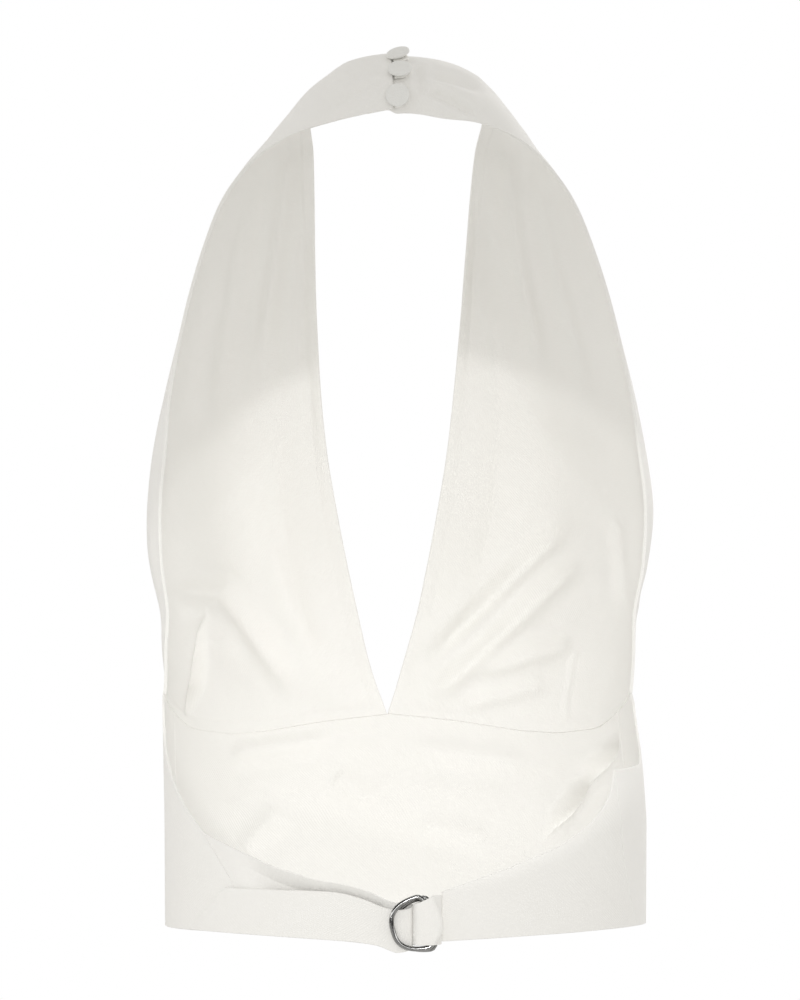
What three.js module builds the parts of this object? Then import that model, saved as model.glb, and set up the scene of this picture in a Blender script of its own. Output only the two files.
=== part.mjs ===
// A halter neck top in plain woven cloth, filled out as if worn. Millimetres, +Z up.
// The origin lies on the inner face of the strap at the nape. The wearer's back looks along -Y
// and the front along +Y. Heights count down from the nape.
import * as THREE from 'three';

// Cloth and seams
const CLOTH = 1.4;
const SEAM_GAP = 0.3;

// Distance from the strap at the nape to the middle plane of the body
const BODY_CENTRE = 80.8;

// The closed ring of the torso at a few heights: half width, sideways shift, depth to front and back
const TORSO_ROUNDNESS = 2.2;
const TORSO_RINGS = [
  { height: -285, half: 117.8, shift: 0.4, front: 90, back: 86 },
  { height: -313, half: 118.0, shift: 1.4, front: 88, back: 86.5 },
  { height: -336, half: 119.2, shift: 3.0, front: 88.5, back: 87.5 },
  { height: -362, half: 119.9, shift: 4.2, front: 90, back: 88 },
  { height: -418, half: 119.6, shift: 4.2, front: 92, back: 88.5 },
];

// Angles round the torso count from the middle of the back (0) past the side (90) to the front (180).
// FRONT_SEAM_GAP is the angle left open on each side of the front seams.
const FRONT_SIDE_SEAM = 105;
const ARMHOLE_FOOT = 95;
const FRONT_HEM = -416.5;
const FRONT_SEAM_GAP = 0.1;

// The seam under the bust, from its end at the armhole to the middle of the front
const BUST_SEAM = [
  { angle: 95, height: -300 },
  { angle: 105, height: -310 },
  { angle: 114, height: -319 },
  { angle: 128, height: -322.5 },
  { angle: 140, height: -321.5 },
  { angle: 158, height: -317 },
  { angle: 180, height: -313.3 },
];

// Upper edges of the side panels, from the back band to the seam under the bust
const SIDE_TOP = {
  left: [
    { angle: 63, height: -366.4 },
    { angle: 71, height: -353.4 },
    { angle: 79.4, height: -337 },
    { angle: 86, height: -323 },
    { angle: 91, height: -306 },
    { angle: 95, height: -300.4 },
  ],
  right: [
    { angle: 63.3, height: -336 },
    { angle: 71, height: -335.6 },
    { angle: 80, height: -334.6 },
    { angle: 87, height: -323 },
    { angle: 91.5, height: -306 },
    { angle: 95, height: -300.4 },
  ],
};

// Upper edges of the back bands, from the rings to the side panels
const BAND_TOP = {
  left: [
    { angle: 0, height: -399.2 },
    { angle: 9, height: -398.0 },
    { angle: 15.3, height: -393.4 },
    { angle: 24.6, height: -389.4 },
    { angle: 34.7, height: -387.4 },
    { angle: 46.9, height: -381.2 },
    { angle: 54.2, height: -374.8 },
    { angle: 63, height: -366.4 },
  ],
  right: [
    { angle: 6, height: -394.4 },
    { angle: 28.7, height: -381.4 },
    { angle: 42.7, height: -372.4 },
    { angle: 52.9, height: -361.2 },
    { angle: 57.7, height: -353.6 },
    { angle: 61.4, height: -346.2 },
    { angle: 63.3, height: -336 },
  ],
};

// Hem of the bands and side panels, from the rings to the side
const BACK_HEM = [
  { angle: 0, height: -417.4 },
  { angle: 12, height: -416.2 },
  { angle: 32, height: -414.5 },
  { angle: 50, height: -413.4 },
  { angle: 62, height: -413.3 },
  { angle: 75, height: -413.8 },
  { angle: 90, height: -414.6 },
  { angle: 105, height: -416.2 },
];

// The seams between the back bands and the side panels
const SIDE_BACK_SEAM = {
  left: [
    { height: -417, angle: 47 },
    { height: -388, angle: 54.4 },
    { height: -375, angle: 59.4 },
    { height: -366.4, angle: 63 },
  ],
  right: [
    { height: -417, angle: 74 },
    { height: -397, angle: 68.3 },
    { height: -377, angle: 65.2 },
    { height: -336, angle: 63.3 },
  ],
};

// Sections of a halter panel from the seam under the bust to its end at the nape. inner is the neck
// edge, outer the armhole edge, each [from the middle, forward of the body's middle, height]. bow is
// how far the cloth stands off the straight line between them, cup how far the bust pushes it forward.
const HALTER_SECTIONS = [
  { inner: [0.6, 88.5, -313], outer: [118.4, 10, -299.8], bow: 36, cup: 0 },
  { inner: [7.2, 92, -293], outer: [117.8, 3, -280], bow: 36, cup: 6 },
  { inner: [14.2, 96, -267], outer: [117.0, -3, -259], bow: 35, cup: 12 },
  { inner: [20.4, 99, -239], outer: [120.4, -9, -235], bow: 35, cup: 16 },
  { inner: [26.2, 101, -209], outer: [121.2, -12, -206], bow: 36, cup: 17 },
  { inner: [31.2, 102, -179], outer: [118.4, -8, -177], bow: 34, cup: 13 },
  { inner: [34.6, 98, -147], outer: [115.6, 0, -149], bow: 26, cup: 8 },
  { inner: [37.4, 84, -107], outer: [106.6, 6, -106], bow: 17, cup: 3 },
  { inner: [38.8, 67, -76], outer: [96.6, 5, -73.5], bow: 13, cup: 0 },
  { inner: [39.8, 49, -50], outer: [87.2, 0, -52], bow: 9, cup: 0 },
  { inner: [41.2, 28, -27], outer: [74.4, -14, -36], bow: 6, cup: 0 },
  { inner: [43.5, 2, -9.5], outer: [61.5, -38, -27], bow: 5.5, cup: 0 },
  { inner: [36.0, -27, 3], outer: [47.0, -61, -21.5], bow: 6.8, cup: 0 },
  { inner: [21.0, -45, 10.8], outer: [26.5, -78.5, -17], bow: 8.3, cup: 0 },
  { inner: [0, -51.6, 12.8], outer: [0, -86.4, -12.9], bow: 8.8, cup: 0 },
];
const BOW_FULLNESS = 3;
const CUP_PLACE = 0.3;
const CUP_SPREAD = 0.24;
const CUP_RISE = 8;
const SEAM_BLEND = 1.6;
// The armhole edges lean a little to the right between the bust and the shoulder, and the seam at
// the foot of the neckline lies a little to the left, fading out over a few rows
const LEAN = { by: 2.4, rows: 10, power: 0.7 };
const FRONT_MIDDLE = { by: -2, rows: 2.5, angle: 1.3, gap: 0.3 };
// Where each half ends at the nape. The left one lies on the right one, and steps out to do so
const NAPE_END = { left: -6.4, right: -19 };
const OVERLAP_STEP = CLOTH + SEAM_GAP;
const STEP_FROM = -38;
const STEP_TO = -25;
// The right half hangs lower beside the left one's end, by a share of the strap's width. It does so
// from one place to another, and comes back to the strap's own edge before and after
const RIGHT_LOWER = { share: 0.034, hidden: -9.5, from: -4.5, to: 14, none: 38 };

// Buttons and their loops: place across the strap, from the upper edge (0) to the lower (1)
const BUTTON_ROW = [
  { name: 'top', across: 0.32, sideways: -2.4, turn: -13 },
  { name: 'middle', across: 0.63, sideways: -2.7, turn: 0 },
  { name: 'bottom', across: 0.915, sideways: -4.0, turn: 0 },
];
const BUTTON = { radius: 5.8, dome: 2.2, rim: 1.2, shankRadius: 1.9, shankHeight: 2.1 };
const BUTTON_SIDES = 16;
// The extra room under a button that stands askew
const ASKEW_LIFT = 0.35;
const LOOP = { cord: 0.85, bend: 3.3, clear: 0.3, from: 0.02, to: 0.99 };

// The buckle: two rings behind each other. across is the place from the middle, out the distance
// of the wire's centre from the band
const RING = { wire: 1.2, half: 12.6, depth: 17.6, squareness: 2.6, corner: 1.6 };
const RINGS = [
  { name: 'd_ring_inner', across: 12.4, height: -407.6, out: 2.2, tilt: 8 },
  { name: 'd_ring_outer', across: 10.0, height: -406.4, out: 6.7, tilt: 14 },
];
const BUCKLE_BACK = 88.4;
// The cloth loop round the rings' bars, whose upper edge climbs towards the band
const RING_LOOP = { from: 4.1, to: 17.0, low: -417.8, high: -398.4, climb: 4.2, out: 8.9, corner: 3.4 };
// Where the left band turns into the strap's free end, and where the right one turns into the loop
const BAND_ENDS = { left: 0.5, right: 17.3 };
const BAND_MIDDLE = { height: -408, shift: 4.2 };
// Degrees left open between a band and its side panel
const BAND_SEAM_GAP = 0.3;

// The strap's free end: along is the place from the middle, out the distance from the band's
// middle surface, with the heights of its two edges
const STRAP_PATH = [
  { along: 0.8, out: 0, low: -417.4, high: -399.0 },
  { along: 2.36, out: 0.64, low: -417.2, high: -399.0 },
  { along: 3.0, out: 2.2, low: -417.2, high: -399.1 },
  { along: 2.36, out: 3.76, low: -418.6, high: -399.8 },
  { along: 0.8, out: 4.4, low: -420.6, high: -400.8 },
  { along: -4.4, out: 4.5, low: -421.6, high: -401.6 },
  { along: -8.4, out: 3.6, low: -420.4, high: -401.0 },
  { along: -14, out: 2.0, low: -418.2, high: -399.6 },
  { along: -24, out: 1.75, low: -416.6, high: -396.4 },
  { along: -40, out: 1.75, low: -415.4, high: -393.2 },
  { along: -68, out: 1.75, low: -414.1, high: -392.4 },
  { along: -94, out: 1.75, low: -413.5, high: -392.2 },
];
// The slanted tip: how much further the lower edge runs than the upper
const TIP_SLANT = 17;

const DEGREE = Math.PI / 180;
// How far round a table's row its corner is softened, as a share of the table's length
const TABLE_SOFTENING = 0.03;
const cloth = new THREE.MeshStandardMaterial({ color: 0xf3f1ec, roughness: 0.85, metalness: 0 });
const coveredButton = new THREE.MeshStandardMaterial({ color: 0xecebe4, roughness: 0.8, metalness: 0 });
const ringMetal = new THREE.MeshStandardMaterial({ color: 0xc9cacb, roughness: 0.18, metalness: 1 });

// A smooth curve through evenly numbered values, at t from 0 to 1. A value is a number or a list.
function through(values, t) {
  const last = values.length - 1;
  const place = THREE.MathUtils.clamp(t, 0, 1) * last;
  const i = Math.min(Math.floor(place), last - 1);
  const f = place - i;
  const blend = (a, b, c, d) =>
    b + 0.5 * f * (c - a + f * (2 * a - 5 * b + 4 * c - d + f * (3 * (b - c) + d - a)));
  const pick = (part) => {
    const b = part(values[i]);
    const c = part(values[i + 1]);
    const a = i > 0 ? part(values[i - 1]) : 2 * b - c;
    const d = i + 2 <= last ? part(values[i + 2]) : 2 * c - b;
    return blend(a, b, c, d);
  };
  return Array.isArray(values[0]) ? values[0].map((_, k) => pick((v) => v[k])) : pick((v) => v);
}

// A table's column read between its rows, by straight lines with softened corners
function read(rows, key, column, at) {
  const sorted = [...rows].sort((a, b) => a[key] - b[key]);
  const line = (x) => {
    if (x <= sorted[0][key]) return sorted[0][column];
    for (let i = 1; i < sorted.length; i++) {
      const low = sorted[i - 1];
      const high = sorted[i];
      if (x <= high[key])
        return THREE.MathUtils.mapLinear(x, low[key], high[key], low[column], high[column]);
    }
    return sorted.at(-1)[column];
  };
  const first = sorted[0][key];
  const last = sorted.at(-1)[key];
  const soft = Math.max(Math.min((last - first) * TABLE_SOFTENING, at - first, last - at), 0);
  return (line(at - soft) + 2 * line(at) + line(at + soft)) / 4;
}

// A point of the torso's ring. angle is in degrees from the middle of the back, side is -1 or 1
function torsoPoint(angle, height, side, out = 0) {
  const ring = (column) => read(TORSO_RINGS, 'height', column, height);
  const half = ring('half') + out;
  const depth = (angle < 90 ? ring('back') : ring('front')) + out;
  const sine = Math.sin(angle * DEGREE);
  const cosine = Math.cos(angle * DEGREE);
  const radius =
    (Math.abs(sine / half) ** TORSO_ROUNDNESS + Math.abs(cosine / depth) ** TORSO_ROUNDNESS) **
    (-1 / TORSO_ROUNDNESS);
  return new THREE.Vector3(
    ring('shift') + side * radius * sine,
    BODY_CENTRE - radius * cosine,
    height,
  );
}

// The angle on the back at which the ring has a given place from the middle
function backAngle(across, height) {
  const shift = read(TORSO_RINGS, 'height', 'shift', height);
  const half = read(TORSO_RINGS, 'height', 'half', height);
  const back = read(TORSO_RINGS, 'height', 'back', height);
  const reach = Math.min(Math.abs(across - shift) / half, 1);
  const depth = back * (1 - reach ** TORSO_ROUNDNESS) ** (1 / TORSO_ROUNDNESS);
  return Math.atan2(across - shift, depth) / DEGREE;
}

// A closed mesh from a list of points and faces, turned so that its faces look outwards
function closedMesh(name, points, faces, material) {
  let volume = 0;
  const cross = new THREE.Vector3();
  for (const [a, b, c] of faces) volume += cross.crossVectors(points[a], points[b]).dot(points[c]);
  const turned = volume < 0 ? faces.map(([a, b, c]) => [a, c, b]) : faces;
  const geometry = new THREE.BufferGeometry().setFromPoints(points);
  geometry.setIndex(turned.flat());
  geometry.computeVertexNormals();
  const mesh = new THREE.Mesh(geometry, material);
  mesh.name = name;
  return mesh;
}

// A wall of cloth round a surface given as surface(u, v), u and v from 0 to 1
function clothWall(name, surface, across, along, material = cloth) {
  const count = (across + 1) * (along + 1);
  const at = (i, j) => j * (across + 1) + i;
  const middle = [];
  for (let j = 0; j <= along; j++)
    for (let i = 0; i <= across; i++) middle.push(surface(i / across, j / along));
  const front = [];
  const back = [];
  for (let j = 0; j <= along; j++) {
    for (let i = 0; i <= across; i++) {
      const du = new THREE.Vector3().subVectors(
        middle[at(Math.min(i + 1, across), j)],
        middle[at(Math.max(i - 1, 0), j)],
      );
      const dv = new THREE.Vector3().subVectors(
        middle[at(i, Math.min(j + 1, along))],
        middle[at(i, Math.max(j - 1, 0))],
      );
      const normal = du.cross(dv).normalize();
      front.push(middle[at(i, j)].clone().addScaledVector(normal, CLOTH / 2));
      back.push(middle[at(i, j)].clone().addScaledVector(normal, -CLOTH / 2));
    }
  }
  const faces = [];
  const quad = (a, b, c, d) => faces.push([a, b, c], [a, c, d]);
  for (let j = 0; j < along; j++) {
    for (let i = 0; i < across; i++) {
      quad(at(i, j), at(i + 1, j), at(i + 1, j + 1), at(i, j + 1));
      quad(count + at(i, j), count + at(i, j + 1), count + at(i + 1, j + 1), count + at(i + 1, j));
    }
  }
  const edge = (a, b) => quad(b, a, count + a, count + b);
  for (let i = 0; i < across; i++) {
    edge(at(i, 0), at(i + 1, 0));
    edge(at(i + 1, along), at(i, along));
  }
  for (let j = 0; j < along; j++) {
    edge(at(across, j), at(across, j + 1));
    edge(at(0, j + 1), at(0, j));
  }
  return closedMesh(name, [...front, ...back], faces, material);
}

// A round tube along a list of points, either closed on itself or with flat ends
function tube(name, path, radius, sides, closed, material) {
  const points = [];
  const frame = { normal: new THREE.Vector3(0, -1, 0) };
  const count = path.length;
  path.forEach((centre, k) => {
    const before = path[closed ? (k + count - 1) % count : Math.max(k - 1, 0)];
    const after = path[closed ? (k + 1) % count : Math.min(k + 1, count - 1)];
    const along = new THREE.Vector3().subVectors(after, before).normalize();
    const normal = frame.normal.clone().addScaledVector(along, -frame.normal.dot(along)).normalize();
    const other = new THREE.Vector3().crossVectors(along, normal);
    frame.normal = normal;
    for (let s = 0; s < sides; s++) {
      const turn = (2 * Math.PI * s) / sides;
      const spot = centre.clone().addScaledVector(normal, radius * Math.cos(turn));
      points.push(spot.addScaledVector(other, radius * Math.sin(turn)));
    }
  });
  const faces = [];
  const steps = closed ? count : count - 1;
  for (let k = 0; k < steps; k++) {
    for (let s = 0; s < sides; s++) {
      const a = k * sides + s;
      const b = k * sides + ((s + 1) % sides);
      const c = ((k + 1) % count) * sides + ((s + 1) % sides);
      const d = ((k + 1) % count) * sides + s;
      faces.push([a, b, c], [a, c, d]);
    }
  }
  if (!closed) {
    const last = (count - 1) * sides;
    for (let s = 1; s < sides - 1; s++) faces.push([0, s + 1, s], [last, last + s, last + s + 1]);
  }
  return closedMesh(name, points, faces, material);
}

// How much of the bow a place across the section gets: nothing at the edges, all in the middle
const bowAt = (s) => 1 - Math.abs(2 * s - 1) ** BOW_FULLNESS;
const cupAt = (s) => Math.exp(-(((s - CUP_PLACE) / CUP_SPREAD) ** 2)) * Math.min(1, s * CUP_RISE);

// The sections run on across the middle of the nape as their own mirror image
const NAPE_ROW = HALTER_SECTIONS.length - 1;
const mirrored = ({ inner, outer, ...rest }) => ({
  inner: [-inner[0], inner[1], inner[2]],
  outer: [-outer[0], outer[1], outer[2]],
  ...rest,
});
const ALL_SECTIONS = [...HALTER_SECTIONS, ...[2, 3].map((k) => mirrored(HALTER_SECTIONS.at(-k)))];

function halterSection(row) {
  const t = row / (ALL_SECTIONS.length - 1);
  const column = (key) => through(ALL_SECTIONS.map((section) => section[key]), t);
  return { inner: column('inner'), outer: column('outer'), bow: column('bow'), cup: column('cup') };
}

// A point of a halter panel. s runs from the neck edge to the armhole, row along the sections
function halterForm(s, row, side) {
  const here = halterSection(row);
  const step = 0.15;
  const below = halterSection(Math.max(row - step, 0));
  const above = halterSection(row + step);
  const vector = (from, to) => new THREE.Vector3(...to.map((value, k) => value - from[k]));
  const chord = vector(here.inner, here.outer);
  const middle = (section) => section.inner.map((value, k) => (value + section.outer[k]) / 2);
  const rise = vector(middle(below), middle(above));
  const out = new THREE.Vector3().crossVectors(rise, chord).normalize();
  const point = new THREE.Vector3(...here.inner).addScaledVector(chord, s);
  point.addScaledVector(out, here.bow * bowAt(s));
  point.y += here.cup * cupAt(s);
  const reach = Math.min(Math.max(row, 0) / LEAN.rows, 1) ** LEAN.power;
  const lean = LEAN.by * s * Math.sin(Math.PI * reach);
  const foot = FRONT_MIDDLE.by * (1 - s) * (1 - THREE.MathUtils.smoothstep(row, 0, FRONT_MIDDLE.rows));
  return new THREE.Vector3(side * point.x + lean + foot, point.y + BODY_CENTRE, point.z);
}

// The lower edge of a halter panel, just above the seam under the bust
function bustSeamPoint(s, side) {
  const middle = 180 - FRONT_MIDDLE.gap + side * FRONT_MIDDLE.angle;
  const angle = THREE.MathUtils.lerp(middle, ARMHOLE_FOOT, s);
  const height = read(BUST_SEAM, 'angle', 'height', angle) + SEAM_GAP;
  return torsoPoint(angle, height, side);
}

// The row of the sections at which the right half has a given place from the middle of the nape
function napeRow(s, across) {
  let low = NAPE_ROW - 3;
  let high = NAPE_ROW + 1;
  for (let k = 0; k < 24; k++) {
    const half = (low + high) / 2;
    if (halterForm(s, half, 1).x > across) low = half;
    else high = half;
  }
  return (low + high) / 2;
}

// The outward direction of a halter panel
function halterNormal(s, row, side) {
  const step = 0.02;
  const edge = halterForm(Math.min(s + step, 1), row, side);
  const across = edge.sub(halterForm(Math.max(s - step, 0), row, side));
  const along = halterForm(s, row + step, side).sub(halterForm(s, row - step, side));
  return along.cross(across).multiplyScalar(side).normalize();
}

// A place on the right half at the nape, at a distance out from the cloth's middle
function napePoint(s, across, out) {
  const row = napeRow(s, across);
  return halterForm(s, row, 1).addScaledVector(halterNormal(s, row, 1), out);
}

function halterPoint(s, t, side) {
  const row = t * napeRow(s, side < 0 ? -NAPE_END.left : NAPE_END.right);
  const x = halterForm(s, row, side).x;
  const beside =
    THREE.MathUtils.smoothstep(x, RIGHT_LOWER.hidden, RIGHT_LOWER.from) -
    THREE.MathUtils.smoothstep(x, RIGHT_LOWER.to, RIGHT_LOWER.none);
  const lower = side > 0 && row > NAPE_ROW - 3 ? RIGHT_LOWER.share * beside : 0;
  const point = halterForm(s * (1 + lower), row, side);
  if (row < SEAM_BLEND) {
    const share = 0.5 + 0.5 * Math.cos((Math.PI * row) / SEAM_BLEND);
    point.addScaledVector(bustSeamPoint(s, side).sub(halterForm(s, 0, side)), share);
  }
  if (side < 0 && row > NAPE_ROW - 3) {
    const lift = OVERLAP_STEP * THREE.MathUtils.smoothstep(point.x, STEP_FROM, STEP_TO);
    point.addScaledVector(halterNormal(s, row, side), lift);
  }
  return point;
}

function halterPanel(side) {
  const name = side < 0 ? 'halter_panel_left' : 'halter_panel_right';
  return clothWall(name, (u, v) => halterPoint(u, v, side), 12, 42);
}

function waistPanel() {
  const surface = (u, v) => {
    const turn = THREE.MathUtils.lerp(-1, 1, u);
    const angle = 180 - Math.abs(turn) * (180 - FRONT_SIDE_SEAM - FRONT_SEAM_GAP);
    const top = read(BUST_SEAM, 'angle', 'height', angle) - SEAM_GAP;
    return torsoPoint(angle, THREE.MathUtils.lerp(FRONT_HEM, top, v), Math.sign(turn) || 1);
  };
  return clothWall('waist_panel', surface, 36, 6);
}

const sideName = (side) => (side < 0 ? 'left' : 'right');
const seamTop = (name) => Math.max(...SIDE_BACK_SEAM[name].map((row) => row.height));

function sidePanel(side) {
  const name = sideName(side);
  const surface = (u, v) => {
    const seam = SIDE_BACK_SEAM[name].at(-1).angle;
    const topAngle = THREE.MathUtils.lerp(seam, FRONT_SIDE_SEAM, u);
    const edge = topAngle < ARMHOLE_FOOT ? SIDE_TOP[name] : BUST_SEAM;
    const top = read(edge, 'angle', 'height', topAngle) - (topAngle < ARMHOLE_FOOT ? 0 : SEAM_GAP);
    const height = THREE.MathUtils.lerp(read(BACK_HEM, 'angle', 'height', topAngle), top, v);
    const seamAngle = read(SIDE_BACK_SEAM[name], 'height', 'angle', Math.min(height, seamTop(name)));
    const angle = THREE.MathUtils.lerp(seamAngle + BAND_SEAM_GAP / 2, FRONT_SIDE_SEAM - FRONT_SEAM_GAP, u);
    return torsoPoint(angle, height, side);
  };
  return clothWall(`side_panel_${name}`, surface, 12, 10);
}

function backBand(side) {
  const name = sideName(side);
  const end = Math.abs(backAngle(BAND_ENDS[name], BAND_MIDDLE.height));
  const endAngle = end * (Math.sign(BAND_ENDS[name] - BAND_MIDDLE.shift) === side ? 1 : -1);
  const surface = (u, v) => {
    const seam = SIDE_BACK_SEAM[name].at(-1).angle;
    const topAngle = THREE.MathUtils.lerp(endAngle, seam, u);
    const top = read(BAND_TOP[name], 'angle', 'height', topAngle);
    const hem = read(BACK_HEM, 'angle', 'height', topAngle);
    const height = THREE.MathUtils.lerp(hem, top, v);
    const seamAngle = read(SIDE_BACK_SEAM[name], 'height', 'angle', height) - BAND_SEAM_GAP / 2;
    return torsoPoint(THREE.MathUtils.lerp(endAngle, seamAngle, u), height, side);
  };
  return clothWall(`back_band_${name}`, surface, 24, 10);
}

// A place near the buckle: from the middle, height, and distance out from the band
function buckleSpot(across, height, out) {
  return new THREE.Vector3(across, BODY_CENTRE - BUCKLE_BACK - out, height);
}

// The free end follows the back of the torso, standing out from it
function strapSpot(along, height, out) {
  const angle = backAngle(along, height);
  return torsoPoint(Math.abs(angle), height, Math.sign(angle) || 1, out);
}

function strapEnd() {
  const surface = (u, v) => {
    const column = (key) => through(STRAP_PATH.map((row) => row[key]), v);
    const height = THREE.MathUtils.lerp(column('low'), column('high'), u);
    const nearTip = THREE.MathUtils.smoothstep(v, 0.55, 1);
    return strapSpot(column('along') - TIP_SLANT * nearTip * (0.5 - u), height, column('out'));
  };
  return clothWall('strap_end', surface, 4, 48);
}

// The turned end of the right band, a flat loop of cloth round the bars of both rings
function ringLoop() {
  const { from, to, low, high, climb, out, corner } = RING_LOOP;
  const outline = (inset) => {
    const shape = new THREE.Path();
    const left = from + inset;
    const right = to - inset;
    const bottom = -CLOTH / 2 + inset;
    const top = out + CLOTH / 2 - inset;
    const round = corner - inset;
    shape.absarc(right - round, top - round, round, 0, Math.PI / 2);
    shape.absarc(left + round, top - round, round, Math.PI / 2, Math.PI);
    shape.absarc(left + round, bottom + round, round, Math.PI, 1.5 * Math.PI);
    shape.absarc(right - round, bottom + round, round, 1.5 * Math.PI, 2 * Math.PI);
    shape.closePath();
    return shape;
  };
  const divisions = 5;
  const rim = (inset) => {
    const points = outline(inset).getPoints(divisions);
    return points.filter((p, k) => k === 0 || p.distanceTo(points[k - 1]) > 1e-6).slice(0, -1);
  };
  const outer = rim(0);
  const inner = rim(CLOTH);
  const count = outer.length;
  const shares = [0, 0.5, 1];
  const topAt = (x) => high + (climb * (x - from)) / (to - from);
  const points = [];
  for (const share of shares)
    for (const p of [...outer, ...inner])
      points.push(buckleSpot(p.x, THREE.MathUtils.lerp(low, topAt(p.x), share), p.y));
  const faces = [];
  const quad = (a, b, c, d) => faces.push([a, b, c], [a, c, d]);
  const layer = 2 * count;
  for (let k = 0; k < count; k++) {
    const next = (k + 1) % count;
    for (let h = 0; h + 1 < shares.length; h++) {
      const low0 = h * layer;
      const high0 = low0 + layer;
      quad(low0 + k, low0 + next, high0 + next, high0 + k);
      quad(low0 + count + k, high0 + count + k, high0 + count + next, low0 + count + next);
    }
    const top0 = (shares.length - 1) * layer;
    quad(next, k, count + k, count + next);
    quad(top0 + k, top0 + next, top0 + count + next, top0 + count + k);
  }
  return closedMesh('ring_loop', points, faces, cloth);
}

// A D-ring: a straight bar and a squared arc, turned in its own plane by tilt degrees
function dRing({ name, across, height, out, tilt }) {
  const power = 2 / RING.squareness;
  const arc = [];
  const steps = 22;
  for (let k = 1; k < steps; k++) {
    const turn = -90 + (180 * k) / steps;
    const c = Math.cos(turn * DEGREE);
    const s = Math.sin(turn * DEGREE);
    arc.push([-RING.depth * c ** power, RING.half * Math.sign(s) * Math.abs(s) ** power]);
  }
  const barHalf = RING.half - RING.corner;
  const bar = [1, 0.34, -0.34, -1].map((share) => [0, share * barHalf]);
  const turned = (x, z) => [
    x * Math.cos(tilt * DEGREE) - z * Math.sin(tilt * DEGREE),
    x * Math.sin(tilt * DEGREE) + z * Math.cos(tilt * DEGREE),
  ];
  const path = [...arc, ...bar].map(([x, z]) => {
    const [dx, dz] = turned(x, z);
    return buckleSpot(across + dx, height + dz, out);
  });
  return tube(name, path, RING.wire, 8, true, ringMetal);
}

// The frame of a button: its foot on the strap, the strap's outward normal and its own downward line
function buttonFrame({ across, sideways }) {
  const foot = napePoint(across, sideways, 0);
  const out = halterNormal(across, napeRow(across, sideways), 1);
  const right = new THREE.Vector3(1, 0, 0).addScaledVector(out, -out.x).normalize();
  const down = new THREE.Vector3().crossVectors(out, right).normalize();
  return { foot, down, right, out };
}

function button(row) {
  const { foot, down, out } = buttonFrame(row);
  const { radius, dome, rim, shankRadius, shankHeight } = BUTTON;
  const profile = [
    new THREE.Vector2(0, 0),
    new THREE.Vector2(shankRadius, 0),
    new THREE.Vector2(shankRadius, shankHeight),
    new THREE.Vector2(radius - 0.6, shankHeight + 0.1),
    new THREE.Vector2(radius, shankHeight + rim / 2),
    new THREE.Vector2(radius - 0.3, shankHeight + rim),
  ];
  for (const share of [0.78, 0.5, 0.25])
    profile.push(
      new THREE.Vector2(radius * share, shankHeight + rim + (dome - rim) * Math.sqrt(1 - share ** 2) + 0.3),
    );
  profile.push(new THREE.Vector2(0, shankHeight + dome + 0.3));
  const sides = BUTTON_SIDES;
  const points = [];
  const faces = [];
  const side = new THREE.Vector3().crossVectors(down, out).normalize();
  const lean = out.clone().applyAxisAngle(down, row.turn * DEGREE);
  const along = side.clone().applyAxisAngle(down, row.turn * DEGREE);
  const start = foot.clone().addScaledVector(out, CLOTH / 2 + SEAM_GAP + (row.turn ? ASKEW_LIFT : 0));
  const spot = (r, h, turn) =>
    start
      .clone()
      .addScaledVector(lean, h)
      .addScaledVector(down, r * Math.cos(turn))
      .addScaledVector(along, r * Math.sin(turn));
  const ringOf = profile.slice(1, -1);
  points.push(spot(0, 0, 0));
  for (const p of ringOf)
    for (let s = 0; s < sides; s++) points.push(spot(p.x, p.y, (2 * Math.PI * s) / sides));
  points.push(spot(0, profile.at(-1).y, 0));
  const at = (k, s) => 1 + k * sides + (s % sides);
  const tip = points.length - 1;
  for (let s = 0; s < sides; s++) {
    faces.push([0, at(0, s + 1), at(0, s)]);
    faces.push([tip, at(ringOf.length - 1, s), at(ringOf.length - 1, s + 1)]);
    for (let k = 0; k + 1 < ringOf.length; k++)
      faces.push([at(k, s), at(k, s + 1), at(k + 1, s + 1)], [at(k, s), at(k + 1, s + 1), at(k + 1, s)]);
  }
  return closedMesh(`button_${row.name}`, points, faces, coveredButton);
}

// A thin loop from the end of the left half round the button's shank
function buttonLoop(row) {
  const { foot, right } = buttonFrame(row);
  const lift = CLOTH / 2 + SEAM_GAP + LOOP.cord;
  const start = NAPE_END.left + LOOP.cord + LOOP.clear - row.sideways;
  const width = napePoint(0, row.sideways, 0).distanceTo(napePoint(1, row.sideways, 0));
  const flat = [];
  const bends = 9;
  for (let k = 0; k <= 3; k++) flat.push([THREE.MathUtils.lerp(start, 0, k / 4), -LOOP.bend]);
  for (let k = 0; k <= bends; k++) {
    const turn = -90 + (180 * k) / bends;
    flat.push([LOOP.bend * Math.cos(turn * DEGREE), LOOP.bend * Math.sin(turn * DEGREE)]);
  }
  for (let k = 3; k >= 0; k--) flat.push([THREE.MathUtils.lerp(start, 0, k / 4), LOOP.bend]);
  const path = flat.map(([x, y]) => {
    const spot = foot.clone().addScaledVector(right, x);
    const share = THREE.MathUtils.clamp(row.across + y / width, LOOP.from, LOOP.to);
    return napePoint(share, spot.x, lift);
  });
  return tube(`loop_${row.name}`, path, LOOP.cord, 6, false, cloth);
}

const top = new THREE.Group();
for (const side of [-1, 1]) {
  top.add(halterPanel(side));
  top.add(sidePanel(side));
  top.add(backBand(side));
}
top.add(waistPanel());
top.add(strapEnd());
top.add(ringLoop());
for (const ring of RINGS) top.add(dRing(ring));
for (const row of BUTTON_ROW) {
  top.add(button(row));
  top.add(buttonLoop(row));
}

export default top;
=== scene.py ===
"""A halter neck top in off-white woven cloth, filled out as if worn and seen from behind.

Sizes are in millimetres in the tables and in metres on the meshes. The origin lies on the inner
face of the strap at the nape. The wearer's back looks along -Y and the front along +Y.
"""
import math

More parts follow.
